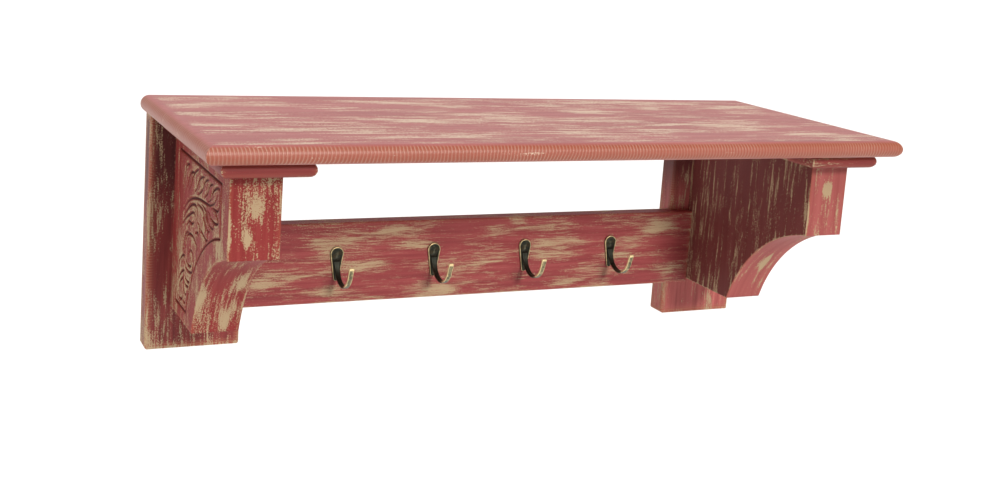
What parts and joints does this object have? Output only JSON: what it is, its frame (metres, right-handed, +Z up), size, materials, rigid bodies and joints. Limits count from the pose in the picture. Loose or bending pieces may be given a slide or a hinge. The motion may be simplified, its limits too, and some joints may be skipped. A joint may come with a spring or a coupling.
{
  "type": "wall shelf with brackets",
  "caption": "Deep painted wooden wall shelf with rounded edges on carved cove corbels, with capped tops, upright back boards and a rail of single brass coat hooks.",
  "frame": {"origin": "midway between the entry holes of the wall hangers, on the wall plane", "axes": "+X to the right along the shelf, +Y into the wall, +Z up"},
  "size_m": [0.762, 0.305, 0.271],
  "materials": {
    "painted_wood": "chalky red paint rubbed through to tan wood",
    "antique_brass": "antique bronze with rubbed bright edges",
    "bronze_screw": "dark bronzed",
    "hanger_steel": "zinc plated",
    "screw_steel": "zinc plated",
    "dowel_wood": "bare"
  },
  "bodies": {
    "root": {"shelf_board": "painted_wood", "left_cap": "painted_wood", "right_cap": "painted_wood", "left_corbel": "painted_wood", "right_corbel": "painted_wood", "left_back_board": "painted_wood", "right_back_board": "painted_wood", "hook_rail": "painted_wood", "hook_1": "antique_brass", "hook_2": "antique_brass", "hook_3": "antique_brass", "hook_4": "antique_brass", "hook_screws": "bronze_screw", "left_hanger": "hanger_steel", "right_hanger": "hanger_steel", "hanger_screws": "screw_steel", "corbel_screws": "screw_steel", "rail_screws": "screw_steel", "cap_screws": "screw_steel", "shelf_screws": "screw_steel", "shelf_dowels": "dowel_wood"}
  },
  "joints": []
}
